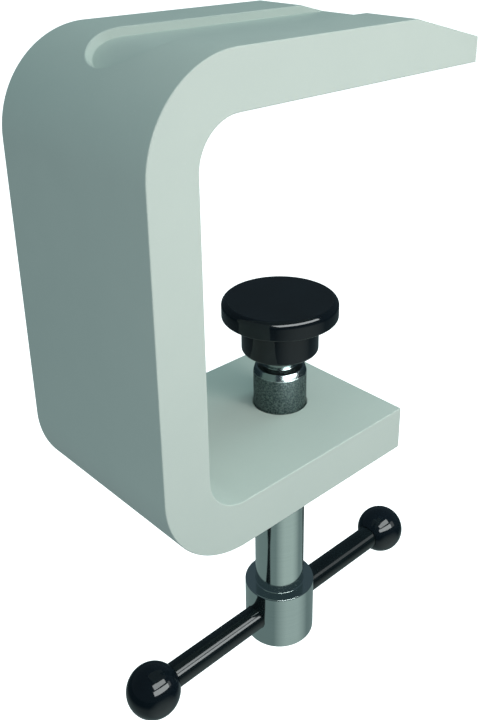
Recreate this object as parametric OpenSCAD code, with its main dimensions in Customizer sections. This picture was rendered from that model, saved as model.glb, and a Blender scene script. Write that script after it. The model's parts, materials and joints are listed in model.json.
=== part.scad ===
// Table C-clamp: a C-shaped frame bent from wide flat bar, a plain-looking screw spindle through
// the lower arm, a thrust pad that swivels and rocks on the spindle's tip, and a sliding tommy bar
// with a ball knob at each end.
// Millimetres. The origin lies on the upper jaw's underside, on the spindle's axis. +Z runs up along
// the spindle, +X runs from the spine to the open side, and Y runs across the bar's width.

/* [Frame] */
// Width of the flat bar that the frame is bent from
frame_w = 50; // [44:1:60]
// Thickness of the flat bar
frame_t = 12; // [11:0.5:14]
// Open height between the two arms
jaw_gap = 87; // [85:1:110]
// Depth from the spine's inner face to the spindle's axis
throat = 45; // [40:0.5:60]
// Inside radius of both bends
bend_r = 10; // [8:0.5:14]
// Length of the upper arm past the spindle's axis
upper_reach = 40.5; // [36:0.5:50]
// Length of the lower arm past the spindle's axis
lower_reach = 20; // [16:0.5:30]
// Length of the slope that thins the upper arm's tip
tip_slope_l = 23.5; // [15:0.5:24]
// Drop of that slope at the tip
tip_slope_drop = 6; // [3:0.5:7]

/* [Groove] */
// Width of the groove along the upper arm's top face
groove_w = 20; // [12:0.5:28]
// Depth of the groove
groove_depth = 2; // [1:0.25:3]
// Distance from the spindle's axis back to the centre of the groove's round end
groove_back = 39; // [34:0.5:40]

/* [Spindle] */
// Diameter of the spindle
spindle_d = 14; // [12:0.5:16]
// Length of the spindle from its shoulder to the hub's top
spindle_l = 71.4; // [68:0.1:90]
// How much the spindle's radius shrinks up to its shoulder
shoulder_taper = 0.6; // [0.3:0.1:1.5]
// Length of that taper
shoulder_taper_l = 1.9; // [0.5:0.1:3]
// Diameter of the neck that carries the pad
neck_d = 9; // [8.6:0.1:9.2]
// Bare length of the neck between the shoulder and the pad
neck_bare = 4.2; // [3:0.1:6]
// Radial gap between the spindle and the frame's hole, and between the bar and its hole
running_gap = 0.05; // [0.02:0.01:0.1]

/* [Thrust pad] */
// Drop from the upper jaw down to the pad's face
pad_drop = 57; // [50:1:60]
// Diameter of the pad's face
pad_d = 30; // [26:1:34]
// Thickness of the pad's wide disc
pad_disc_h = 4.8; // [3.6:0.2:5]
// Diameter of the pad's lower body
pad_body_d = 20; // [18:0.5:22]
// Height of the whole pad
pad_h = 14.4; // [14.2:0.1:16]
// Rounding of the face's rim
pad_rim_r = 1; // [0.5:0.1:1.5]

/* [Hub and tommy bar] */
// Diameter of the hub
hub_d = 20; // [19:0.5:24]
// Height of the hub
hub_h = 17.5; // [17:0.5:22]
// Drop from the hub's top to the tommy bar's axis
bar_drop = 9.2; // [8.5:0.1:10]
// Diameter of the tommy bar
bar_d = 7; // [6:0.5:8]
// Distance between the centres of the two ball knobs
knob_span = 93; // [80:1:120]
// Diameter of each ball knob
knob_d = 14.5; // [14:0.5:16]

/* [Hidden] */
$fn = 96;
eps = 0.5;   // how far a cutting shape runs past the face that it cuts

// Frame levels and places
arm_top = frame_t;
lower_top = -jaw_gap;
lower_bottom = lower_top - frame_t;
spine_in = -throat;
spine_out = spine_in - frame_t;
bend_out_r = bend_r + frame_t;
bend_x = spine_in + bend_r;
upper_bend_z = -bend_r;
lower_bend_z = lower_top + bend_r;

// Spindle levels
spindle_r = spindle_d / 2;
neck_r = neck_d / 2;
pad_top = -pad_drop;
pad_bottom = pad_top - pad_h;
shoulder_z = pad_bottom - neck_bare;
hub_top = shoulder_z - spindle_l;
hub_bottom = hub_top - hub_h;
bar_z = hub_top - bar_drop;
spindle_foot_z = hub_bottom + 0.3;
foot_chamfer = 0.5;
bar_hole_r = bar_d / 2 + running_gap;

// Rocking seat inside the pad: the disc's dome and the pad's hollow share one centre
pad_roof = 3;
seat_r = 12;
seat_gap = 0.1;
seat_top = pad_top - pad_roof;
rock_z = seat_top - seat_r;
cavity_r = 6.8;
lip_r = 5;
lip_h = 2;
pad_foot_round = 0.8;
disc_r = 5.5;
disc_bottom = seat_top - 3;
tip_gap = 0.1;
tip_z = disc_bottom - tip_gap;
tip_chamfer = 0.4;

// Retaining ring and its groove in the neck
ring_t = 1;
ring_in_r = neck_r - 0.3;
ring_out_r = 6.1;
ring_z = seat_top - 7;
ring_slot_w = ring_t + 0.2;
ring_slot_r = ring_in_r - 0.1;
ring_opening = 3;

// Hub details
hub_edge_r = 0.3;
foot_fillet = 0.3;

// Set screw in the hub's +Y side, above the tommy bar
screw_r = 1.5;
screw_z = hub_top - 2.7;
screw_in = spindle_r - 0.5;
screw_out = hub_d / 2 - 0.3;
socket_across_flats = 1.5;
socket_depth = 1.4;

// Ball knobs, their bushes and the bar's threaded ends
knob_r = knob_d / 2;
knob_x = knob_span / 2;
knob_flat_r = 3.7;
knob_face_x = knob_x - sqrt(knob_r * knob_r - knob_flat_r * knob_flat_r);
stud_r = 2.5;
bush_r = 3.4;
bush_l = 9;
stud_l = 8;

// ---------- shared shapes ----------

// A disc of radius r and height h standing on z = 0, with its upper rim rounded by edge_r.
module rim_rounded_disc(r, h, edge_r) {
    rotate_extrude() {
        square([r - edge_r, h]);
        square([r, h - edge_r]);
        translate([r - edge_r, h - edge_r])
            intersection() {
                circle(edge_r);
                square(edge_r);
            }
    }
}

// A rod along X, from x0 to x1, on the tommy bar's axis.
module rod_on_bar_axis(r, x0, x1) {
    translate([x0, 0, bar_z])
        rotate([0, 90, 0])
            cylinder(r = r, h = x1 - x0);
}

// ---------- frame ----------

// Side outline of the bent bar, in X and Z, thinned by inset from its outer face.
module bar_outline(inset = 0) {
    r_out = bend_out_r - inset;
    top = arm_top - inset;
    bottom = lower_bottom + inset;
    difference() {
        union() {
            translate([bend_x, bottom])
                square([upper_reach - bend_x, top - bottom]);
            translate([spine_out + inset, lower_bend_z])
                square([bend_x - spine_out, upper_bend_z - lower_bend_z]);
            for (z = [upper_bend_z, lower_bend_z])
                translate([bend_x, z])
                    circle(r_out);
        }
        translate([spine_in, lower_bend_z])
            square([upper_reach - spine_in + eps, upper_bend_z - lower_bend_z]);
        translate([bend_x, lower_top])
            square([upper_reach - bend_x + eps, jaw_gap]);
        for (z = [upper_bend_z, lower_bend_z])
            translate([bend_x, z])
                circle(bend_r);
        translate([lower_reach, bottom - eps])
            square([upper_reach - lower_reach + eps, frame_t + 2 * eps]);
    }
}

// An X-Z outline stood up and spread evenly across Y.
module across_width(w) {
    translate([0, w / 2, 0])
        rotate([90, 0, 0])
            linear_extrude(w)
                children();
}

// Everything above the sloping top of the upper arm's tip.
module tip_slope() {
    slope_angle = atan(tip_slope_drop / tip_slope_l);
    across_width(frame_w + 2 * eps)
        translate([upper_reach - tip_slope_l, arm_top])
            rotate(-slope_angle)
                square([2 * tip_slope_l, frame_t]);
}

// The groove's plan, a slot with one round end, cut down to an even depth below the bar's skin.
module groove() {
    plan_bottom = upper_bend_z;
    difference() {
        translate([0, 0, plan_bottom])
            linear_extrude(arm_top - plan_bottom + eps) {
                translate([-groove_back, 0])
                    circle(groove_w / 2);
                translate([-groove_back, -groove_w / 2])
                    square([upper_reach + groove_back + eps, groove_w]);
            }
        across_width(frame_w)
            bar_outline(inset = groove_depth);
        translate([spine_out + groove_depth + eps, -frame_w / 2, lower_bend_z])
            cube([upper_reach - spine_out, frame_w, upper_bend_z - lower_bend_z]);
    }
}

module c_frame() {
    color("#b7c8c0")
        difference() {
            across_width(frame_w)
                bar_outline();
            tip_slope();
            groove();
            translate([0, 0, lower_bottom - eps])
                cylinder(r = spindle_r + running_gap, h = frame_t + 2 * eps);
        }
}

// ---------- spindle ----------

// Half section of the spindle: foot, shaft, tapered shoulder, neck with the ring's groove, and tip.
module spindle_section() {
    slot_top = ring_z + ring_slot_w / 2;
    slot_bottom = ring_z - ring_slot_w / 2;
    polygon([
        [0, spindle_foot_z],
        [spindle_r - foot_chamfer, spindle_foot_z],
        [spindle_r, spindle_foot_z + foot_chamfer],
        [spindle_r, shoulder_z - shoulder_taper_l],
        [spindle_r - shoulder_taper, shoulder_z],
        [neck_r, shoulder_z],
        [neck_r, slot_bottom],
        [ring_slot_r, slot_bottom],
        [ring_slot_r, slot_top],
        [neck_r, slot_top],
        [neck_r, tip_z - tip_chamfer],
        [neck_r - tip_chamfer, tip_z],
        [0, tip_z]
    ]);
}

module spindle() {
    color("#7d8a88")
        difference() {
            rotate_extrude()
                spindle_section();
            rod_on_bar_axis(bar_hole_r, -hub_d, hub_d);
            translate([0, screw_in, screw_z])
                rotate([-90, 0, 0])
                    cylinder(r = screw_r, h = spindle_r);
        }
}

// ---------- hub ----------

// Sleeve pressed on the spindle's foot, with a small fillet where the shaft leaves it.
module spindle_hub() {
    half_h = hub_h / 2;
    color("#93a5a0")
        difference() {
            union() {
                for (flip = [0, 1])
                    translate([0, 0, hub_top - half_h])
                        mirror([0, 0, flip])
                            rim_rounded_disc(hub_d / 2, half_h, hub_edge_r);
                translate([0, 0, hub_top])
                    rotate_extrude()
                        difference() {
                            square([spindle_r + foot_fillet, foot_fillet]);
                            translate([spindle_r + foot_fillet, foot_fillet])
                                circle(foot_fillet);
                        }
            }
            translate([0, 0, hub_bottom - eps])
                cylinder(r = spindle_r, h = hub_h + 2 * eps + foot_fillet);
            rod_on_bar_axis(bar_hole_r, -hub_d, hub_d);
            translate([0, 0, screw_z])
                rotate([-90, 0, 0])
                    cylinder(r = screw_r, h = hub_d);
        }
}

// Headless screw that stops the hub from turning or sliding on the spindle.
module hub_set_screw() {
    color("#3c4040")
        translate([0, screw_in, screw_z])
            rotate([-90, 0, 0])
                difference() {
                    cylinder(r = screw_r, h = screw_out - screw_in);
                    translate([0, 0, screw_out - screw_in - socket_depth])
                        cylinder(d = socket_across_flats / cos(30), h = socket_depth + eps, $fn = 6);
                }
}

// ---------- tommy bar ----------

module tommy_bar() {
    color("#1b2024")
        union() {
            rod_on_bar_axis(bar_d / 2, -knob_face_x, knob_face_x);
            rod_on_bar_axis(stud_r, -knob_face_x - stud_l, knob_face_x + stud_l);
        }
}

// Puts a piece drawn for the bar's +X end on one end: side is 1 at the open end, -1 at the spine's.
module at_bar_end(side) {
    mirror([side < 0 ? 1 : 0, 0, 0])
        children();
}

// A ball knob with a flat face around the bar and a blind hole for its bush.
module ball_knob(side) {
    color("#15191c")
        at_bar_end(side)
            difference() {
                translate([knob_x, 0, bar_z])
                    rotate([0, 90, 0])
                        sphere(r = knob_r);
                translate([knob_face_x - knob_r, 0, bar_z])
                    cube(2 * knob_r, center = true);
                rod_on_bar_axis(bush_r, knob_face_x - eps, knob_face_x + bush_l);
            }
}

// The brass bush moulded into a knob, threaded onto the bar's stud.
module knob_bush(side) {
    color("#c3a257")
        at_bar_end(side)
            difference() {
                rod_on_bar_axis(bush_r, knob_face_x, knob_face_x + bush_l);
                rod_on_bar_axis(stud_r, knob_face_x - eps, knob_face_x + stud_l);
            }
}

// ---------- thrust pad ----------

module thrust_pad() {
    cavity_floor = pad_bottom + lip_h;
    color("#161c20")
        difference() {
            union() {
                translate([0, 0, pad_top - pad_disc_h])
                    rim_rounded_disc(pad_d / 2, pad_disc_h, pad_rim_r);
                translate([0, 0, pad_top - pad_disc_h])
                    mirror([0, 0, 1])
                        rim_rounded_disc(pad_body_d / 2, pad_h - pad_disc_h, pad_foot_round);
            }
            translate([0, 0, pad_bottom - eps])
                cylinder(r = lip_r, h = lip_h + 2 * eps);
            intersection() {
                translate([0, 0, cavity_floor])
                    cylinder(r = cavity_r, h = pad_h);
                translate([0, 0, rock_z])
                    sphere(r = seat_r);
            }
        }
}

// Hardened disc between the spindle's flat tip and the pad's hollow: flat below, domed above.
module thrust_disc() {
    color("#5d6668")
        intersection() {
            translate([0, 0, disc_bottom])
                cylinder(r = disc_r, h = pad_h);
            translate([0, 0, rock_z])
                sphere(r = seat_r - seat_gap);
        }
}

// Open spring ring that sits in the neck's groove and holds the pad on.
module pad_retaining_ring() {
    color("#4a4f52")
        translate([0, 0, ring_z - ring_t / 2])
            difference() {
                cylinder(r = ring_out_r, h = ring_t);
                translate([0, 0, -eps])
                    cylinder(r = ring_in_r, h = ring_t + 2 * eps);
                translate([0, -ring_opening / 2, -eps])
                    cube([2 * ring_out_r, ring_opening, ring_t + 2 * eps]);
            }
}

// ---------- the parts in place ----------

c_frame();
spindle();
spindle_hub();
hub_set_screw();
tommy_bar();
ball_knob(-1);  // rear_ball_knob
ball_knob(1);  // front_ball_knob
knob_bush(-1);  // rear_knob_bush
knob_bush(1);  // front_knob_bush
thrust_pad();
thrust_disc();
pad_retaining_ring();
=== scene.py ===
"""Looks of the table C-clamp: meshes with broken edges and procedural materials, around the CAD frame."""
import bmesh
import bpy
import json
import math
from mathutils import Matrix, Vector

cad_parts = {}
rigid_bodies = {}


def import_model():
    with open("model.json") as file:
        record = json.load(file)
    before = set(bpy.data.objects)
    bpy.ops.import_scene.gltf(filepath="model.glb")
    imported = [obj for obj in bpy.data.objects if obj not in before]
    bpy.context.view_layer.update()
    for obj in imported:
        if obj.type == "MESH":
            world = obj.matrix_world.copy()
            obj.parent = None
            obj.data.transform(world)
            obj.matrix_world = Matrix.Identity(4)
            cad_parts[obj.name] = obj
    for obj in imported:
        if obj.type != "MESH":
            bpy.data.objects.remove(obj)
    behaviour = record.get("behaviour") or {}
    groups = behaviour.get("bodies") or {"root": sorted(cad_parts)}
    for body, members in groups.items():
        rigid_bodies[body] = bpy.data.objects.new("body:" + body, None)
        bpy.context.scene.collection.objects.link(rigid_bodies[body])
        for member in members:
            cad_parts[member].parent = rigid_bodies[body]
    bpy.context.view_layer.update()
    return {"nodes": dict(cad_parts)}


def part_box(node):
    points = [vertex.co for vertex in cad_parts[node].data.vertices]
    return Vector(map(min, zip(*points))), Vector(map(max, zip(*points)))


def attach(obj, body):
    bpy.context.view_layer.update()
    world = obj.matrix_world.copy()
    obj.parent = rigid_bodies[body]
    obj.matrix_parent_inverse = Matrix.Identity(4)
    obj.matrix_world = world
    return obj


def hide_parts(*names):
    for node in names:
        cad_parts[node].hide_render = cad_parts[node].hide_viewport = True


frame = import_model()

# Sizes are in millimetres here, as in the CAD source, and become metres when a mesh is made.
MM = 0.001


def box_mm(node):
    """Lowest and highest corner of a CAD node, in millimetres."""
    low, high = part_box(node)
    return low / MM, high / MM


# ---------- sizes read from the frame ----------

FRAME_LOW, FRAME_HIGH = box_mm("c_frame")
SPINDLE_LOW, SPINDLE_HIGH = box_mm("spindle")
HUB_LOW, HUB_HIGH = box_mm("spindle_hub")
BAR_LOW, BAR_HIGH = box_mm("tommy_bar")
PAD_LOW, PAD_HIGH = box_mm("thrust_pad")
KNOB_LOW, KNOB_HIGH = box_mm("front_ball_knob")
BUSH_LOW, BUSH_HIGH = box_mm("front_knob_bush")
SCREW_LOW, SCREW_HIGH = box_mm("hub_set_screw")

BAR_STOCK_T = FRAME_HIGH.z
HALF_WIDTH = FRAME_HIGH.y
UPPER_TIP_X = FRAME_HIGH.x
SPINE_X = FRAME_LOW.x
UNDERSIDE_Z = FRAME_LOW.z
SPINDLE_R = SPINDLE_HIGH.x
HUB_R = HUB_HIGH.x
BAR_Z = (BAR_LOW.z + BAR_HIGH.z) / 2
BAR_R = (BAR_HIGH.z - BAR_LOW.z) / 2
KNOB_R = (KNOB_HIGH.z - KNOB_LOW.z) / 2
KNOB_X = KNOB_HIGH.x - KNOB_R
PAD_R = PAD_HIGH.x
BUSH_R = (BUSH_HIGH.z - BUSH_LOW.z) / 2

# ---------- sizes that no box gives, the same as in the CAD source ----------

BEND_R = 10 + BAR_STOCK_T        # outside radius of both bends
LOWER_TIP_X = 20
SLOPE_L = 23.5
SLOPE_DROP = 6
GROOVE_R = 10
GROOVE_DEPTH = 2
GROOVE_BACK = 39
RUNNING_GAP = 0.05
NECK_R = 4.5
NECK_BARE = 4.2
SHOULDER_Z = PAD_LOW.z - NECK_BARE
SHOULDER_TAPER = 0.6             # how much the radius shrinks up to the shoulder
SHOULDER_TAPER_L = 1.9           # over this length, which is polished
FOOT_CHAMFER = 0.5
TIP_CHAMFER = 0.4
RING_SLOT_R = 4.1
RING_SLOT_W = 1.2
HUB_EDGE_R = 0.3
FOOT_FILLET = 0.3
PAD_DISC_H = 4.8
PAD_BODY_R = 10
PAD_FOOT_R = 0.8
PAD_CAVITY_R = 6.8
PAD_LIP_R = 5
PAD_LIP_H = 2
SEAT_R = 12
SEAT_BELOW_FACE = 3
STUD_R = 2.5

# ---------- roundings that only the look has ----------

PAD_RIM_LOOK_R = 1.6             # the CAD rim has 1; this one gives its highlight the picture's width
TAPER_START_R = 3.0              # where the shaft runs into the shoulder's taper
TAPER_END_R = 0.7                # where the taper meets the shoulder
NECK_FOOT_R = 0.3                # where the shoulder meets the neck
SHAFT_EDGE_R = 0.15              # both edges of the foot's chamfer
TIP_EDGE_R = 0.1                 # both edges of the tip's chamfer
STUD_EDGE_R = 0.3
BAR_EDGE_R = 0.2
KNOB_EDGE_R = 0.15
PAD_LIP_EDGE_R = 0.2
PAD_STEP_R = 0.25                # inner corner between the pad's body and its disc
PAD_DISC_EDGE_R = 0.35           # lower edge of the disc

# ---------- mesh helpers ----------

WELD = 1e-6              # points nearer than this become one, in metres
SHORTEST_EDGE = 1e-7     # shorter edges are dissolved, in metres
ON_AXIS = 1e-6           # a profile point with a smaller radius is on the axis
SHARP_FRAME = 12         # least angle between faces that breaks the shading, in degrees
SHARP_TURNED = 35


def add_piece(name, mesh, body, node, material):
    """Puts a finished mesh in the scene as the piece that stands for a CAD node."""
    piece = bpy.data.objects.new(name, mesh)
    bpy.context.scene.collection.objects.link(piece)
    mesh.materials.clear()
    mesh.materials.append(material)
    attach(piece, body)
    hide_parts(node)
    return piece


def mesh_from(points, faces, name):
    """A closed, outward-facing, smooth-shaded mesh in metres from points in millimetres."""
    mesh = bpy.data.meshes.new(name)
    mesh.from_pydata([tuple(c * MM for c in p) for p in points], [], faces)
    work = bmesh.new()
    work.from_mesh(mesh)
    bmesh.ops.remove_doubles(work, verts=work.verts, dist=WELD)
    bmesh.ops.dissolve_degenerate(work, edges=work.edges, dist=SHORTEST_EDGE)
    bmesh.ops.recalc_face_normals(work, faces=work.faces)
    for face in work.faces:
        face.smooth = True
    work.to_mesh(mesh)
    work.free()
    return mesh


def mark_sharp(mesh, least_degrees):
    """Marks each edge whose faces meet at least this sharply, so that shading breaks there."""
    work = bmesh.new()
    work.from_mesh(mesh)
    for edge in work.edges:
        if len(edge.link_faces) == 2:
            edge.smooth = edge.calc_face_angle(0) < math.radians(least_degrees)
    work.to_mesh(mesh)
    work.free()


def even_shading(piece):
    """Flat faces stay flat next to small rounded edges: large faces lead the normals."""
    weigh = piece.modifiers.new("even_shading", "WEIGHTED_NORMAL")
    weigh.mode = "FACE_AREA"
    weigh.weight = 100
    weigh.keep_sharp = True


def cut(mesh, cutter_mesh):
    """The mesh with the cutter's solid taken away."""
    scene_objects = bpy.context.scene.collection.objects
    whole = bpy.data.objects.new("whole", mesh)
    cutter = bpy.data.objects.new("cutter", cutter_mesh)
    scene_objects.link(whole)
    scene_objects.link(cutter)
    boolean = whole.modifiers.new("cut", "BOOLEAN")
    boolean.operation = "DIFFERENCE"
    boolean.solver = "EXACT"
    boolean.object = cutter
    graph = bpy.context.evaluated_depsgraph_get()
    result = bpy.data.meshes.new_from_object(whole.evaluated_get(graph))
    bpy.data.objects.remove(whole)
    bpy.data.objects.remove(cutter)
    bpy.data.meshes.remove(cutter_mesh)
    return result


def along_z(r, z, angle):
    return (r * math.cos(angle), r * math.sin(angle), z)


def along_x(r, x, angle):
    """For pieces on the tommy bar's axis: r is measured from that axis."""
    return (x, r * math.cos(angle), BAR_Z + r * math.sin(angle))


def arc(centre, radius, start_degrees, end_degrees, steps):
    """Points on an arc in a profile's plane, both ends included."""
    points = []
    for i in range(steps + 1):
        a = math.radians(start_degrees + (end_degrees - start_degrees) * i / steps)
        points.append((centre[0] + radius * math.cos(a), centre[1] + radius * math.sin(a)))
    return points


def softened(corners, steps=4):
    """A profile whose corners are rounded. Each corner is (r, along) or (r, along, rounding radius)."""
    points = []
    for i, corner in enumerate(corners):
        here = Vector(corner[:2])
        radius = corner[2] if len(corner) == 3 else 0
        if not radius or i in (0, len(corners) - 1):
            points.append(tuple(here))
            continue
        back = (Vector(corners[i - 1][:2]) - here).normalized()
        on = (Vector(corners[i + 1][:2]) - here).normalized()
        half = back.angle(on) / 2
        reach = radius / math.tan(half)
        centre = here + (back + on).normalized() * (radius / math.sin(half))
        first = (here + back * reach - centre).normalized()
        last = (here + on * reach - centre).normalized()
        for k in range(steps + 1):
            points.append(tuple(centre + first.slerp(last, k / steps) * radius))
    return points


def turned(name, profile, place, segments=128):
    """A solid of revolution: profile points are (radius, distance along), from one end to the other."""
    points, faces, rings = [], [], []
    for r, along in profile:
        count = 1 if r < ON_AXIS else segments
        rings.append(range(len(points), len(points) + count))
        for k in range(count):
            points.append(place(r, along, 2 * math.pi * k / segments))
    for low, high in zip(rings, rings[1:]):
        for k in range(segments):
            quad = [low[k % len(low)], low[(k + 1) % len(low)],
                    high[(k + 1) % len(high)], high[k % len(high)]]
            distinct = list(dict.fromkeys(quad))
            if len(distinct) > 2:
                faces.append(distinct)
    return mesh_from(points, faces, name)


# ---------- frame mesh ----------

# The bar is a sweep along its outer skin. A station is a distance along that skin from the upper
# tip; at each one, y runs across the bar and depth runs inwards from the skin.

EDGE_R = 0.25         # rounding of the bar's long edges and ends
EDGE_STEPS = 8
WALL_LEAN = 0.1       # how far the groove's wall leans outwards, above and below its middle
WALL_FOOT_R = 0.3     # rounding where the wall meets the groove's floor
WALL_RIM_R = 0.35     # rounding where it meets the bar's skin
HOLE_CHAMFER = 0.3
FLAT_STEP = 8         # longest step between stations on a flat stretch
BEND_STEP = 0.7       # longest step on a bend
COLUMN_STEP = 4       # longest step across the groove's floor and the inner skin
LAND_STEP = 1.5       # longest step across the skin beside the groove
SIDE_SHARES = (0.25, 0.5, 0.75)    # rows down the bar's sides, as shares of the thickness
FAN_RAYS = 120        # rays around the half circle of the groove's end
FAN_MARGIN = 0.5      # how far past the groove's rim the round end is kept round in plan

UPPER_L = UPPER_TIP_X - (SPINE_X + BEND_R)
BEND_L = BEND_R * math.pi / 2
SPINE_L = (BAR_STOCK_T - UNDERSIDE_Z) - 2 * BEND_R
LOWER_L = LOWER_TIP_X - (SPINE_X + BEND_R)
SKIN_L = UPPER_L + BEND_L + SPINE_L + BEND_L + LOWER_L
FLAT_HALF = HALF_WIDTH - EDGE_R
ROUND_END_LEVEL = GROOVE_BACK + SPINE_X + BEND_R    # level, from the bend's start to the round end's centre

# Groove wall, from its foot to its rim: distance from the groove's centre line, and depth there.
GROOVE_WALL = softened([
    (0, GROOVE_DEPTH),
    (GROOVE_R - WALL_LEAN, GROOVE_DEPTH, WALL_FOOT_R),
    (GROOVE_R + WALL_LEAN, 0, WALL_RIM_R),
    (HALF_WIDTH, 0),
], steps=EDGE_STEPS)[1:-1]
GROOVE_REACH = GROOVE_WALL[-1][0]


class Shell:
    """The points and faces of one closed mesh, gathered sheet by sheet."""

    def __init__(self):
        self.points = []
        self.faces = []

    def sheet(self, rows):
        """Quads between successive rows of points, all of one length. Returns the last row's numbers."""
        numbers = []
        for row in rows:
            after = range(len(self.points), len(self.points) + len(row))
            self.points += row
            for k in range(len(row) - 1):
                if numbers:
                    self.faces.append([numbers[k], numbers[k + 1], after[k + 1], after[k]])
            numbers = after
        return list(numbers)


def slope_fall(x):
    """How far the sloping tip lies below the upper arm's flat top at x."""
    return max(0, x - (UPPER_TIP_X - SLOPE_L)) * SLOPE_DROP / SLOPE_L


def skin_at(station):
    """Outer skin at a station: its point (x, z), outward normal (x, z), and the bar's thickness there."""
    left = station
    if left <= UPPER_L:
        x = UPPER_TIP_X - left
        z = BAR_STOCK_T - slope_fall(x)
        return (x, z), (0, 1), z
    left -= UPPER_L
    if left <= BEND_L:
        return skin_on_bend(BAR_STOCK_T - BEND_R, math.pi / 2 + left / BEND_R)
    left -= BEND_L
    if left <= SPINE_L:
        return (SPINE_X, BAR_STOCK_T - BEND_R - left), (-1, 0), BAR_STOCK_T
    left -= SPINE_L
    if left <= BEND_L:
        return skin_on_bend(UNDERSIDE_Z + BEND_R, math.pi + left / BEND_R)
    left -= BEND_L
    return (SPINE_X + BEND_R + left, UNDERSIDE_Z), (0, -1), BAR_STOCK_T


def skin_on_bend(centre_z, angle):
    """The same for a bend with its centre at that height; the angle turns from +X towards +Z."""
    normal = (math.cos(angle), math.sin(angle))
    point = (SPINE_X + BEND_R + BEND_R * normal[0], centre_z + BEND_R * normal[1])
    return point, normal, BAR_STOCK_T


def in_bar(station, y, depth):
    """The point of the bar at a station, y across it, and depth below its outer skin."""
    skin, normal, _ = skin_at(station)
    return (skin[0] - normal[0] * depth, y, skin[1] - normal[1] * depth)


def groove_depth_at(distance):
    """The groove's depth below the skin at a distance from its centre line."""
    if distance <= GROOVE_WALL[0][0]:
        return GROOVE_DEPTH
    for (near, deep), (far, shallow) in zip(GROOVE_WALL, GROOVE_WALL[1:]):
        if distance <= far:
            return deep + (shallow - deep) * (distance - near) / (far - near)
    return 0


def groove_point(station, y, distance):
    """A point of the outer skin, lowered into the groove, whose floor runs out on the sloping tip."""
    skin, _, _ = skin_at(station)
    floor_share = max(0, 1 - slope_fall(skin[0]) / GROOVE_DEPTH)
    return in_bar(station, y, groove_depth_at(distance) * floor_share)


def spread(start, end, longest):
    """Even steps from start to end, none over longest, both ends included."""
    count = max(1, math.ceil((end - start) / longest))
    return [start + (end - start) * i / count for i in range(count + 1)]


def rim_ring(thickness, inset):
    """The bar's cross-section from one long edge of the outer skin round to the other, as (y, depth)."""
    half = HALF_WIDTH - inset
    near, far = inset, thickness - inset
    r = EDGE_R - inset
    corner = [math.radians(90 * k / EDGE_STEPS) for k in range(EDGE_STEPS + 1)]
    one_side = [(half - r + r * math.sin(a), near + r - r * math.cos(a)) for a in corner]
    one_side += [(half, near + (far - near) * share) for share in SIDE_SHARES]
    one_side += [(half - r + r * math.cos(a), far - r + r * math.sin(a)) for a in corner]
    across = spread(0, half - r, COLUMN_STEP)[:-1]
    one_side += [(y, far) for y in reversed(across)]
    other_side = [(-y, depth) for y, depth in reversed(one_side[:-1])]
    return one_side + other_side


def half_columns():
    """Distances from the centre line: over the groove's floor, up its wall and across the land beside it."""
    wall = [distance for distance, _ in GROOVE_WALL]
    return spread(0, wall[0], COLUMN_STEP)[:-1] + wall + spread(wall[-1], FLAT_HALF, LAND_STEP)[1:]


def round_end_start():
    """Distance along the bend, from its start, to the centre of the groove's round end."""
    return BEND_R * math.asin(ROUND_END_LEVEL / BEND_R)


def along_round_end(u):
    """Distance along the skin for a level distance u past the round end's centre; keeps it round in plan."""
    limit = GROOVE_REACH + FAN_MARGIN
    angle = math.asin((ROUND_END_LEVEL + min(u, limit)) / BEND_R)
    return BEND_R * angle - round_end_start() + max(0, u - limit) / math.cos(angle)


def round_end_fan(end_centre, half):
    """Rays from the centre of the groove's round end, out to a square as wide as the bar's flat."""
    fan = []
    for i in range(FAN_RAYS + 1):
        angle = math.pi * i / FAN_RAYS
        across, back = math.cos(angle), math.sin(angle)
        edge = FLAT_HALF / max(abs(across), back)
        ray = []
        for distance in half:
            past_groove = max(0, distance - GROOVE_REACH) / (FLAT_HALF - GROOVE_REACH)
            reach = min(distance, GROOVE_REACH) + past_groove * (edge - GROOVE_REACH)
            station = end_centre + along_round_end(reach * back)
            ray.append(groove_point(station, reach * across, distance))
        fan.append(ray)
    return fan


def close_end(shell, station, outward, skin_columns):
    """Closes an end of the bar with a rounded rim and a flat face; outward is -1 or 1 along the stations."""
    thickness = skin_at(station)[2]
    rows = []
    for k in range(EDGE_STEPS + 1):
        turn = math.radians(90 * k / EDGE_STEPS)
        inset = EDGE_R * (1 - math.cos(turn))
        ring = rim_ring(thickness, inset)
        loop = [ring[-1]] + [(y, inset) for y in skin_columns[1:-1]] + ring
        place = station + outward * EDGE_R * math.sin(turn)
        rows.append([in_bar(place, y, depth) for y, depth in loop])
    last = shell.sheet(rows)
    shell.faces.append(last[:-1])


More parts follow.
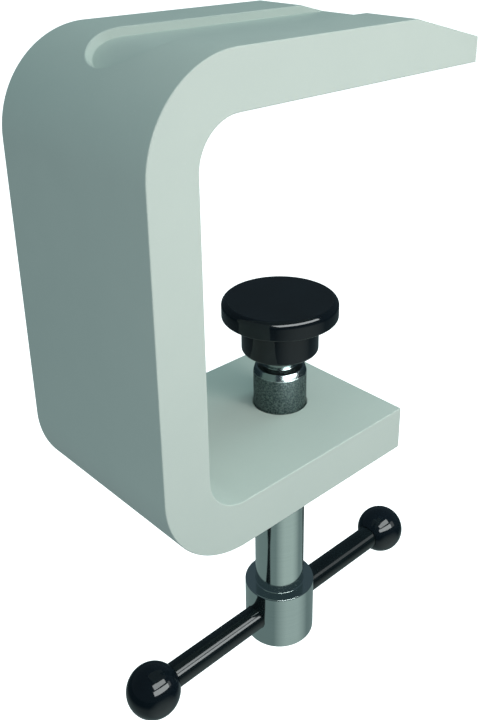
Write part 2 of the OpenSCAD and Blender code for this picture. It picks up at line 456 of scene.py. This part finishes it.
def frame_mesh():
    """The bent bar: skin with the groove, edges, sides, inner skin, both ends and the spindle's hole."""
    shell = Shell()
    half = half_columns()
    columns = [-y for y in reversed(half[1:])] + half

    # Upper arm's skin, from the tip to the centre of the groove's round end
    run_out = SLOPE_L * (1 - GROOVE_DEPTH / SLOPE_DROP)
    end_centre = UPPER_L + round_end_start()
    upper = spread(EDGE_R, run_out, FLAT_STEP) + spread(SLOPE_L, UPPER_L, FLAT_STEP)
    upper += spread(UPPER_L, end_centre, BEND_STEP)[1:]
    shell.sheet([[groove_point(s, y, abs(y)) for y in columns] for s in upper])

    # The square around the round end: its sides and its far edge lie on the fan's own rays
    shell.sheet(round_end_fan(end_centre, half))
    quarter = [math.pi / 4 * i / (FAN_RAYS // 4) for i in range(FAN_RAYS // 4 + 1)]
    beside = [end_centre + along_round_end(FLAT_HALF * math.tan(a)) for a in quarter]
    far_half = [FLAT_HALF * math.tan(a) for a in quarter]
    far_columns = list(reversed(far_half)) + [-y for y in far_half[1:]]

    # The rest of the skin: down the spine, round the lower bend and along the lower arm
    spine_end = UPPER_L + BEND_L + SPINE_L
    rest = spread(beside[-1], spine_end, FLAT_STEP)
    rest += spread(spine_end, spine_end + BEND_L, BEND_STEP)[1:]
    rest += spread(spine_end + BEND_L, SKIN_L - EDGE_R, FLAT_STEP)[1:]
    shell.sheet([[in_bar(s, y, 0) for y in far_columns] for s in rest])

    # Long edges, sides and inner skin at every station, then both ends
    stations = upper + beside[1:] + rest[1:]
    shell.sheet([[in_bar(s, y, depth) for y, depth in rim_ring(skin_at(s)[2], 0)] for s in stations])
    close_end(shell, EDGE_R, -1, columns)
    close_end(shell, SKIN_L - EDGE_R, 1, list(reversed(far_columns)))

    mesh = mesh_from(shell.points, shell.faces, "clamp_frame")
    mesh = cut(mesh, spindle_hole())
    mark_sharp(mesh, SHARP_FRAME)
    return mesh


def spindle_hole():
    """The hole through the lower arm, with a small chamfer at each end."""
    hole_r = SPINDLE_R + RUNNING_GAP
    past = 1
    wide = hole_r + HOLE_CHAMFER + past
    lower_top = UNDERSIDE_Z + BAR_STOCK_T
    profile = [
        (0, UNDERSIDE_Z - past),
        (wide, UNDERSIDE_Z - past),
        (hole_r, UNDERSIDE_Z + HOLE_CHAMFER),
        (hole_r, lower_top - HOLE_CHAMFER),
        (wide, lower_top + past),
        (0, lower_top + past),
    ]
    return turned("hole", profile, along_z)


# ---------- turned meshes ----------

# Extra rings of points keep long walls straight in the shading next to their rounded ends.
INSIDE_HUB = 1        # ring on the shaft, this far below the sleeve's top
WALL_RING = 3         # rings on the sleeve's wall, this far from its ends
SLEEVE_GAP = 0.005    # between the shaft and the sleeve pressed on it
CUT_START = 1         # the cutter for the set screw's hole starts here, inside the sleeve's bore
BAR_SIDES = 96        # sides of the round pieces on the tommy bar's axis
HUB_SIDES = 192
PAD_SIDES = 160
SCREW_SIDES = 48


def hole_for_bar():
    """A cutter on the tommy bar's axis, longer than the hub is wide."""
    hole_r = BAR_R + RUNNING_GAP
    end = 2 * HUB_R
    profile = [(0, -end), (hole_r, -end), (hole_r, end), (0, end)]
    return turned("bar_hole", profile, along_x, BAR_SIDES)


def spindle_mesh():
    """The shaft with its tapered shoulder, neck and ring slot, and the cross hole for the tommy bar."""
    foot, tip = SPINDLE_LOW.z, SPINDLE_HIGH.z
    ring_low, ring_high = box_mm("pad_retaining_ring")
    slot_z = (ring_low.z + ring_high.z) / 2
    slot_low, slot_high = slot_z - RING_SLOT_W / 2, slot_z + RING_SLOT_W / 2
    profile = softened([
        (0, foot),
        (SPINDLE_R - FOOT_CHAMFER, foot, SHAFT_EDGE_R),
        (SPINDLE_R, foot + FOOT_CHAMFER, SHAFT_EDGE_R),
        (SPINDLE_R, HUB_HIGH.z - INSIDE_HUB),
        (SPINDLE_R, UNDERSIDE_Z),
        (SPINDLE_R, SHOULDER_Z - SHOULDER_TAPER_L, TAPER_START_R),
        (SPINDLE_R - SHOULDER_TAPER, SHOULDER_Z, TAPER_END_R),
        (NECK_R, SHOULDER_Z, NECK_FOOT_R),
        (NECK_R, slot_low),
        (RING_SLOT_R, slot_low),
        (RING_SLOT_R, slot_high),
        (NECK_R, slot_high),
        (NECK_R, tip - TIP_CHAMFER, TIP_EDGE_R),
        (NECK_R - TIP_CHAMFER, tip, TIP_EDGE_R),
        (0, tip),
    ])
    mesh = turned("spindle_shaft", profile, along_z)
    mesh = cut(mesh, hole_for_bar())
    mark_sharp(mesh, SHARP_TURNED)
    return mesh


def hub_mesh():
    """The sleeve on the shaft's foot, with a fillet up to the shaft and holes for the bar and the screw."""
    bottom = HUB_LOW.z
    top = HUB_HIGH.z - FOOT_FILLET
    bore = SPINDLE_R + SLEEVE_GAP
    fillet = arc((bore + FOOT_FILLET, top + FOOT_FILLET), FOOT_FILLET, 270, 180, steps=6)
    outer = softened([
        (bore, bottom),
        (HUB_R, bottom, HUB_EDGE_R),
        (HUB_R, bottom + WALL_RING),
        (HUB_R, top - WALL_RING),
        (HUB_R, top, HUB_EDGE_R),
        (bore + FOOT_FILLET, top),
    ], steps=6)
    profile = outer[:-1] + fillet + [(bore, bottom)]
    mesh = turned("hub_sleeve", profile, along_z, HUB_SIDES)
    mesh = cut(mesh, hole_for_bar())
    mesh = cut(mesh, hole_for_screw())
    mark_sharp(mesh, SHARP_TURNED)
    return mesh


def hole_for_screw():
    """A cutter for the set screw's hole, on the hub's +Y side."""
    screw_z = (SCREW_LOW.z + SCREW_HIGH.z) / 2
    screw_r = (SCREW_HIGH.z - SCREW_LOW.z) / 2

    def along_y(r, y, angle):
        return (r * math.cos(angle), y, screw_z + r * math.sin(angle))

    start, end = CUT_START, 2 * HUB_R
    profile = [(0, start), (screw_r, start), (screw_r, end), (0, end)]
    return turned("screw_hole", profile, along_y, SCREW_SIDES)


def bar_mesh():
    """The tommy bar, with a thin stud at each end for its knob."""
    face = KNOB_LOW.x
    profile = softened([
        (0, BAR_LOW.x),
        (STUD_R, BAR_LOW.x, STUD_EDGE_R),
        (STUD_R, -face),
        (BAR_R, -face, BAR_EDGE_R),
        (BAR_R, 0),
        (BAR_R, face, BAR_EDGE_R),
        (STUD_R, face),
        (STUD_R, BAR_HIGH.x, STUD_EDGE_R),
        (0, BAR_HIGH.x),
    ])
    mesh = turned("bar_rod", profile, along_x, BAR_SIDES)
    mark_sharp(mesh, SHARP_TURNED)
    return mesh


def knob_mesh(side):
    """A ball with a small flat round the bar and a blind hole for the bush; side is -1 or 1 along X."""
    face = KNOB_LOW.x
    flat_r = math.sqrt(KNOB_R ** 2 - (KNOB_X - face) ** 2)
    start = math.degrees(math.atan2(flat_r, face - KNOB_X))
    ball = [(r, x) for x, r in arc((KNOB_X, 0), KNOB_R, start, 0, steps=48)]
    flat = softened([(BUSH_R, face), (flat_r, face, KNOB_EDGE_R), ball[1]], steps=3)[:-1]
    hole = [(0, BUSH_HIGH.x), (BUSH_R, BUSH_HIGH.x)]
    profile = [(r, side * x) for r, x in hole + flat + ball[1:-1] + [(0, KNOB_HIGH.x)]]
    mesh = turned("ball_knob", profile, along_x, BAR_SIDES)
    mark_sharp(mesh, SHARP_TURNED)
    return mesh


def pad_mesh():
    """The stepped pad, open below: a cavity under a domed roof, closed in by a lip round the neck."""
    top, bottom = PAD_HIGH.z, PAD_LOW.z
    disc_bottom = top - PAD_DISC_H
    seat_centre = top - SEAT_BELOW_FACE - SEAT_R
    seat_angle = math.degrees(math.acos(PAD_CAVITY_R / SEAT_R))
    seat = arc((0, seat_centre), SEAT_R, 90, seat_angle, steps=10)
    inside = seat + [(PAD_CAVITY_R, bottom + PAD_LIP_H)]
    outside = softened([
        (PAD_LIP_R, bottom + PAD_LIP_H),
        (PAD_LIP_R, bottom, PAD_LIP_EDGE_R),
        (PAD_BODY_R, bottom, PAD_FOOT_R),
        (PAD_BODY_R, disc_bottom, PAD_STEP_R),
        (PAD_R, disc_bottom, PAD_DISC_EDGE_R),
        (PAD_R, top, PAD_RIM_LOOK_R),
        (PAD_R / 2, top),
        (0, top),
    ], steps=8)
    mesh = turned("pad_shoe", inside + outside, along_z, PAD_SIDES)
    mark_sharp(mesh, SHARP_TURNED)
    return mesh


# ---------- material helpers ----------


class Nodes:
    """The node tree of a material or a world, with short calls to add nodes and links."""

    def __init__(self, owner, shader_type="BSDF_PRINCIPLED", place="Object"):
        owner.use_nodes = True
        self.tree = owner.node_tree
        self.shader = next(n for n in self.tree.nodes if n.type == shader_type)
        self.place = self.add("ShaderNodeTexCoord").outputs[place]

    def add(self, kind, **settings):
        node = self.tree.nodes.new(kind)
        for key, value in settings.items():
            setattr(node, key, value)
        return node

    def join(self, output, node_input):
        self.tree.links.new(output, node_input)

    def set(self, **values):
        """Sets plain values on the shader, by socket name with _ for each space."""
        for key, value in values.items():
            self.shader.inputs[key.replace("_", " ")].default_value = value

    def height(self):
        """The upward coordinate, or the upward part of a direction in a world."""
        split = self.add("ShaderNodeSeparateXYZ")
        self.join(self.place, split.inputs["Vector"])
        return split.outputs["Z"]

    def stretched(self, scale):
        """Object coordinates, multiplied by a scale for each axis."""
        mapping = self.add("ShaderNodeMapping")
        mapping.inputs["Scale"].default_value = scale
        self.join(self.place, mapping.inputs["Vector"])
        return mapping.outputs["Vector"]

    def noise(self, scale, detail=3, roughness=0.5, vector=None):
        """Noise with about scale bumps to the metre."""
        noise = self.add("ShaderNodeTexNoise")
        noise.inputs["Scale"].default_value = scale
        noise.inputs["Detail"].default_value = detail
        noise.inputs["Roughness"].default_value = roughness
        self.join(vector or self.place, noise.inputs["Vector"])
        return noise.outputs["Fac"]

    def ramp(self, value, low, high, out_low=0.0, out_high=1.0):
        """Maps value from low..high to out_low..out_high, and holds it at the ends."""
        remap = self.add("ShaderNodeMapRange")
        remap.inputs["From Min"].default_value = low
        remap.inputs["From Max"].default_value = high
        remap.inputs["To Min"].default_value = out_low
        remap.inputs["To Max"].default_value = out_high
        self.join(value, remap.inputs["Value"])
        return remap.outputs["Result"]

    def math(self, operation, first, second):
        node = self.add("ShaderNodeMath", operation=operation)
        for socket, value in zip(node.inputs, (first, second)):
            if isinstance(value, (int, float)):
                socket.default_value = value
            else:
                self.join(value, socket)
        return node.outputs[0]

    def blend(self, share, first, second):
        """A colour between two, each a colour or another node's output."""
        mix = self.add("ShaderNodeMix", data_type="RGBA")
        self.join(share, mix.inputs["Factor"])
        for socket, value in ((mix.inputs[6], first), (mix.inputs[7], second)):
            if isinstance(value, tuple):
                socket.default_value = (*value, 1)
            else:
                self.join(value, socket)
        return mix.outputs[2]

    def colour(self, output):
        self.join(output, self.shader.inputs["Base Color"])

    def roughness(self, output):
        self.join(output, self.shader.inputs["Roughness"])

    def bump(self, height, strength, distance_mm, before=None):
        """Adds a bump and returns its normal; the last one made is the shader's."""
        bump = self.add("ShaderNodeBump")
        bump.inputs["Strength"].default_value = strength
        bump.inputs["Distance"].default_value = distance_mm * MM
        self.join(height, bump.inputs["Height"])
        if before is not None:
            self.join(before, bump.inputs["Normal"])
        self.join(bump.outputs["Normal"], self.shader.inputs["Normal"])
        return bump.outputs["Normal"]


# ---------- materials ----------


def new_material(name):
    """A named material and its nodes."""
    material = bpy.data.materials.new(name)
    return material, Nodes(material)


def enamel_paint():
    """Light grey-green enamel on bar stock: faint orange peel, faint blotches and pale flecks."""
    material, m = new_material("enamel_paint")
    m.set(IOR=1.5)
    blotch = m.noise(45, 4, 0.6)
    fleck = m.noise(1400, 2)
    base = m.blend(m.ramp(blotch, 0.35, 0.65), (0.552, 0.644, 0.596), (0.566, 0.656, 0.607))
    base = m.blend(m.ramp(fleck, 0.60, 0.75, 0, 0.10), base, (0.70, 0.77, 0.73))
    m.colour(base)
    m.roughness(m.ramp(m.noise(160, 3), 0.3, 0.7, 0.42, 0.52))
    peel = m.bump(m.noise(520, 2, 0.4), 0.25, 0.02)
    m.bump(m.noise(2600, 2), 0.12, 0.01, peel)
    return material


def spindle_steel():
    """Steel with a dark, grainy stretch from inside the arm up to the shoulder, polished above and below; the
    polished shoulder and neck under the pad get a darker steel colour as painted shade.
    """
    material, m = new_material("spindle_steel")
    m.set(Metallic=1.0)
    height = m.height()
    arm_middle = (UNDERSIDE_Z + BAR_STOCK_T / 2) * MM
    hidden_fade = 2 * MM
    grain_top = (SHOULDER_Z - SHOULDER_TAPER_L) * MM
    sharp_fade = 0.15 * MM
    grainy = m.ramp(height, arm_middle - hidden_fade, arm_middle + hidden_fade)
    shoulder_with_painted_shade = m.ramp(height, grain_top - sharp_fade, grain_top + sharp_fade)
    grainy = m.math("MULTIPLY", grainy, m.math("SUBTRACT", 1.0, shoulder_with_painted_shade))
    grain = m.noise(2300, 3, 0.65)
    lines = m.noise(1, 3, 0.6, m.stretched((60, 60, 5200)))
    rough_colour = m.blend(m.ramp(grain, 0.40, 0.70), (0.040, 0.060, 0.060), (0.20, 0.255, 0.247))
    smooth_colour = m.blend(m.ramp(lines, 0.35, 0.65), (0.53, 0.60, 0.575), (0.56, 0.63, 0.605))
    # painted shade: above the grain the steel is darker, standing in for the shade and dark reflections under
    # the pad
    smooth_colour = m.blend(shoulder_with_painted_shade, smooth_colour, (0.27, 0.32, 0.315))
    m.colour(m.blend(grainy, smooth_colour, rough_colour))
    rough_finish = m.math("MULTIPLY", grainy, m.ramp(grain, 0.3, 0.7, 0.42, 0.30))
    smooth_finish = m.ramp(lines, 0.3, 0.7, 0.10, 0.13)
    smooth_finish = m.math("ADD", smooth_finish, m.math("MULTIPLY", shoulder_with_painted_shade, 0.08))
    m.roughness(m.math("ADD", rough_finish, smooth_finish))
    fine = m.bump(lines, 0.03, 0.003)
    m.bump(m.math("MULTIPLY", grain, grainy), 0.8, 0.10, fine)
    return material


def hub_steel():
    """Fine-turned satin steel."""
    material, m = new_material("hub_steel")
    m.set(Metallic=1.0)
    lines = m.noise(1, 3, 0.6, m.stretched((40, 40, 4200)))
    stain = m.noise(120, 3)
    base = m.blend(m.ramp(lines, 0.35, 0.65), (0.47, 0.54, 0.525), (0.50, 0.57, 0.555))
    m.colour(m.blend(m.ramp(stain, 0.5, 0.8, 0, 0.25), base, (0.42, 0.48, 0.465)))
    m.roughness(m.ramp(lines, 0.3, 0.7, 0.09, 0.12))
    m.bump(lines, 0.02, 0.002)
    return material


def black_gloss(name, tint, ior, low, high, peel_scale, face_z=None):
    """Glossy black, with small changes of gloss and a faint ripple, and a duller flat face at face_z."""
    material, m = new_material(name)
    m.set(IOR=ior)
    cloud = m.noise(90, 3)
    m.colour(m.blend(m.ramp(cloud, 0.35, 0.65), tint, tuple(1.5 * c for c in tint)))
    finish = m.ramp(m.noise(400, 3), 0.3, 0.7, low, high)
    if face_z is not None:
        added_roughness = 0.25
        dull = m.ramp(m.height(), (face_z - 0.06) * MM, (face_z - 0.01) * MM, 0, added_roughness)
        finish = m.math("ADD", finish, dull)
    m.roughness(finish)
    m.bump(m.noise(peel_scale, 2, 0.4), 0.06, 0.004)
    return material


def plain_metal(name, dark, light, low, high, scale):
    """Bare metal for the small inner pieces: tool marks and a little tarnish."""
    material, m = new_material(name)
    m.set(Metallic=1.0)
    marks = m.noise(scale, 3, 0.6)
    m.colour(m.blend(m.ramp(marks, 0.35, 0.65), dark, light))
    m.roughness(m.ramp(marks, 0.3, 0.7, low, high))
    m.bump(marks, 0.12, 0.01)
    return material


def floor_paint():
    """Matt white that glows just enough to run into the white surround."""
    material, m = new_material("floor_paint")
    m.colour(m.blend(m.ramp(m.noise(30, 3), 0.3, 0.7), (0.90, 0.90, 0.90), (0.93, 0.93, 0.93)))
    m.set(Roughness=0.9, Emission_Color=(1, 1, 1, 1), Emission_Strength=1.0)
    return material


# ---------- camera, light and floor ----------

WARM = (1, 0.914, 0.882)
COOL = (0.73, 1, 0.995)
STRIP_WHITE = (0.94, 1, 1)
HANDLE_PIECES = bpy.data.collections.new("handle_pieces")
SPINDLE_PIECES = bpy.data.collections.new("spindle_pieces")
PAD_PIECES = bpy.data.collections.new("pad_pieces")

# Direction of the bright part of the ground in reflections: down and towards -Y.
GLOW_DIRECTION = (0.0, -0.77, -0.64)


def make_camera():
    """A view from the spine's side, a little above, with the picture's frame shifted as a crop would be."""
    data = bpy.data.cameras.new("camera")
    data.sensor_fit = "AUTO"
    data.sensor_width = 36
    data.lens = 44.155
    data.shift_x = -0.0490
    data.shift_y = -0.1156
    data.clip_start = 0.01
    data.clip_end = 20
    camera = bpy.data.objects.new("camera", data)
    camera.location = Vector((-141.98, -144.42, 37.15)) * MM
    looking = Vector((0.6382, 0.6579, -0.3999))
    camera.rotation_euler = looking.to_track_quat("-Z", "Y").to_euler()
    bpy.context.scene.collection.objects.link(camera)
    bpy.context.scene.camera = camera


def area_lamp(name, place, aim, size, power, colour):
    """A rectangular lamp, with its place, aim and size in millimetres."""
    data = bpy.data.lights.new(name, "AREA")
    data.shape = "RECTANGLE"
    data.size, data.size_y = (side * MM for side in size)
    data.energy = power
    data.color = colour
    lamp = bpy.data.objects.new(name, data)
    lamp.location = Vector(place) * MM
    lamp.rotation_euler = (Vector(aim) - Vector(place)).to_track_quat("-Z", "Y").to_euler()
    lamp.visible_camera = False
    bpy.context.scene.collection.objects.link(lamp)
    return lamp


def soft_lamp(name, place, aim, size, power, colour):
    """A lamp that lights surfaces but leaves no reflection of itself."""
    area_lamp(name, place, aim, size, power, colour).visible_glossy = False


def strip_lamp(name, place, aim, size, power, pieces, spread=180):
    """A long lamp that is only seen as a bright bar in the given shiny pieces."""
    lamp = area_lamp(name, place, aim, size, power, STRIP_WHITE)
    lamp.data.spread = math.radians(spread)
    lamp.visible_diffuse = False
    lamp.light_linking.receiver_collection = pieces


def make_lights():
    """Four soft lamps that light the surfaces, and five strips that only show in the shiny pieces.

    Each call gives a lamp's name, place, aim, size and power, then its colour or the pieces it shows in.
    """
    middle = (0, 0, -50)
    bar = (0, 0, BAR_Z)
    soft_lamp("upper_box", (0, -102, 39), bar, (235, 54), 0.045, WARM)
    soft_lamp("lower_box", (5, -190, -15), bar, (262, 56), 0.128, WARM)
    strip_lamp("upper_strip", (0, -110, 29), bar, (235, 78), 0.35, HANDLE_PIECES)
    strip_lamp("lower_strip", (-8, -139, -61), bar, (245, 56), 0.31, HANDLE_PIECES)
    strip_lamp("faint_strip", (155, -139, -61), (155, 0, BAR_Z), (78, 75), 0.022, HANDLE_PIECES)
    strip_lamp("high_strip", (-14, -62, 10), (-14, -12, PAD_HIGH.z), (142, 45), 0.20, PAD_PIECES)
    strip_lamp("front_strip", (-14, -60, -62), (-14, 0, -62), (90, 24), 0.044, SPINDLE_PIECES, 70)
    soft_lamp("far_key", (100, -500, 260), middle, (200, 200), 1.014, WARM)
    soft_lamp("cool_fill", (700, -100, 400), middle, (400, 400), 1.405, COOL)


def make_surround():
    """White behind the object; a dark room over grey ground in its reflections; a faint cyan light on it."""
    world = bpy.data.worlds.new("surround")
    bpy.context.scene.world = world
    world.cycles.sampling_method = "NONE"
    w = Nodes(world, "BACKGROUND", "Generated")
    height = w.height()
    glow = w.add("ShaderNodeVectorMath", operation="DOT_PRODUCT")
    glow.inputs[1].default_value = GLOW_DIRECTION
    w.join(w.place, glow.inputs[0])
    ground = w.blend(w.ramp(height, -0.62, -0.38), (0.215, 0.285, 0.285), (0.03, 0.05, 0.06))
    lit_ground = w.blend(w.ramp(glow.outputs["Value"], 0.70, 0.97), ground, (0.52, 0.62, 0.60))
    mirrored = w.blend(w.ramp(height, -0.06, 0.06), lit_ground, (0.07, 0.10, 0.12))
    ambient = w.blend(w.ramp(height, -0.3, 0.3), (0.303, 0.340, 0.361), (0.326, 0.437, 0.452))
    path = w.add("ShaderNodeLightPath")
    lit = w.blend(path.outputs["Is Glossy Ray"], ambient, mirrored)
    w.join(w.blend(path.outputs["Is Camera Ray"], lit, (1, 1, 1)), w.shader.inputs["Color"])


def make_floor(material):
    """A plain floor below the clamp, in metres, which neither shades it nor shows in it."""
    floor_z = -0.32
    half = 6.0
    mesh = bpy.data.meshes.new("floor")
    corners = [(-half, -half, floor_z), (half, -half, floor_z), (half, half, floor_z), (-half, half, floor_z)]
    mesh.from_pydata(corners, [], [(0, 1, 2, 3)])
    mesh.materials.append(material)
    floor = bpy.data.objects.new("floor", mesh)
    bpy.context.scene.collection.objects.link(floor)
    floor.visible_diffuse = False
    floor.visible_glossy = False
    floor.visible_transmission = False
    floor.visible_shadow = False


# ---------- the scene ----------

bpy.context.scene.view_settings.view_transform = "Standard"
make_camera()
make_lights()
make_surround()
make_floor(floor_paint())

paint = enamel_paint()
shaft_steel = spindle_steel()
sleeve_steel = hub_steel()
bar_black = black_gloss("bar_black", (0.003, 0.006, 0.007), 1.5, 0.08, 0.12, 120)
knob_black = black_gloss("knob_black", (0.003, 0.006, 0.009), 1.5, 0.05, 0.08, 300)
pad_black = black_gloss("pad_black", (0.0022, 0.0042, 0.0062), 1.45, 0.07, 0.10, 500, PAD_HIGH.z)

clamp_frame = add_piece("clamp_frame", frame_mesh(), "frame", "c_frame", paint)
shaft = add_piece("spindle_shaft", spindle_mesh(), "spindle", "spindle", shaft_steel)
sleeve = add_piece("hub_sleeve", hub_mesh(), "spindle", "spindle_hub", sleeve_steel)
rod = add_piece("bar_rod", bar_mesh(), "tommy_bar", "tommy_bar", bar_black)
rear_knob = add_piece("rear_knob", knob_mesh(-1), "tommy_bar", "rear_ball_knob", knob_black)
front_knob = add_piece("front_knob", knob_mesh(1), "tommy_bar", "front_ball_knob", knob_black)
pad = add_piece("pad_shoe", pad_mesh(), "thrust_pad", "thrust_pad", pad_black)
for piece in (clamp_frame, shaft, sleeve, rod, rear_knob, front_knob, pad):
    even_shading(piece)
for piece in (rod, rear_knob, front_knob, frame["nodes"]["hub_set_screw"]):
    HANDLE_PIECES.objects.link(piece)
for piece in (pad, sleeve):
    PAD_PIECES.objects.link(piece)
SPINDLE_PIECES.objects.link(shaft)

INNER_FINISHES = {
    "hub_set_screw": plain_metal("blackened_steel", (0.03, 0.03, 0.03), (0.08, 0.08, 0.08), 0.35, 0.5, 1500),
    "rear_knob_bush": plain_metal("bush_brass", (0.62, 0.46, 0.20), (0.74, 0.58, 0.30), 0.25, 0.4, 1200),
    "thrust_disc": plain_metal("hardened_steel", (0.36, 0.38, 0.39), (0.46, 0.48, 0.49), 0.2, 0.3, 1500),
    "pad_retaining_ring": plain_metal("spring_steel", (0.14, 0.14, 0.14), (0.24, 0.24, 0.24), 0.3, 0.4, 1500),
}
INNER_FINISHES["front_knob_bush"] = INNER_FINISHES["rear_knob_bush"]
for node_name, finish in INNER_FINISHES.items():
    node_mesh = frame["nodes"][node_name].data
    node_mesh.materials.clear()
    node_mesh.materials.append(finish)
